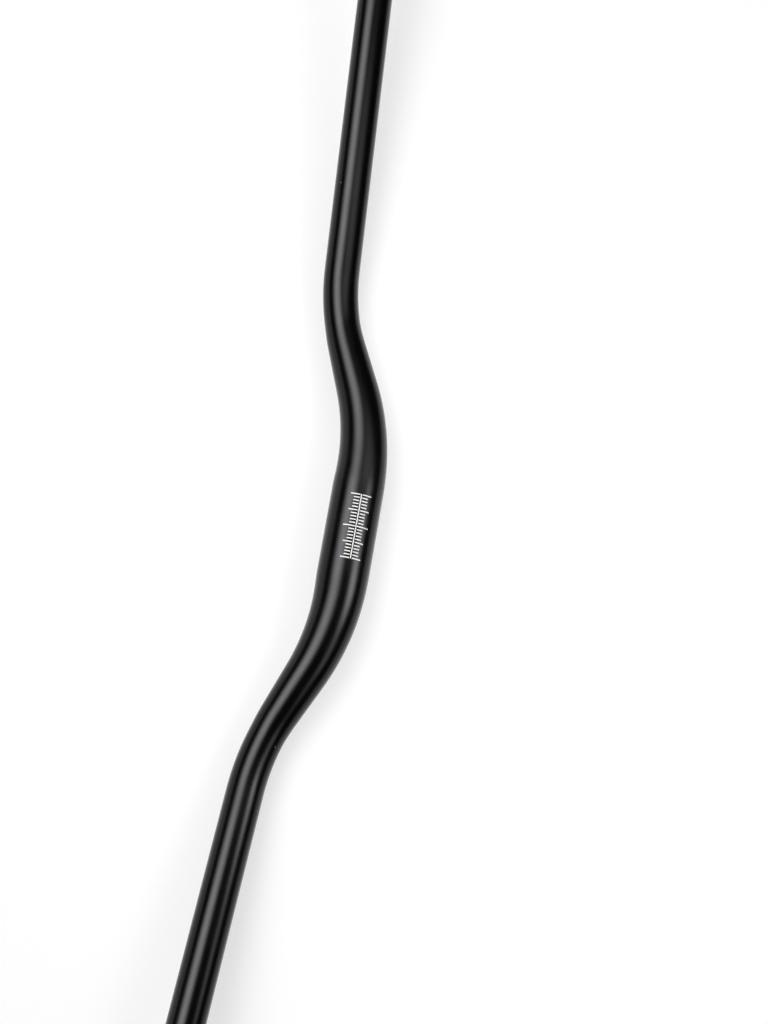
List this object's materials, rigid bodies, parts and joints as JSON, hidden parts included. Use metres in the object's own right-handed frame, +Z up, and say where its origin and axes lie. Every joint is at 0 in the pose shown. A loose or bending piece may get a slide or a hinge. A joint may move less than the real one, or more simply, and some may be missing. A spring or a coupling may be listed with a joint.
{
  "type": "low-rise flat handlebar",
  "caption": "Low-rise bicycle handlebar: a butted aluminium tube that tapers and bends from a round stem seat to straight, swept grip ends with open bores.",
  "frame": {"origin": "middle of the stem clamp seat, on its axis", "axes": "+X along the clamp seat to the rider's right, +Y the way the bar rises, +Z up with the bar lying on its front side. On a bicycle, the bar's up is (0, 0.984, -0.180) and its front is (0, -0.180, -0.984)."},
  "size_m": [0.78, 0.078, 0.0528],
  "materials": {
    "black_anodised_aluminium": "satin black, blasted and anodised"
  },
  "bodies": {
    "root": {"handlebar_tube": "black_anodised_aluminium"}
  },
  "joints": []
}
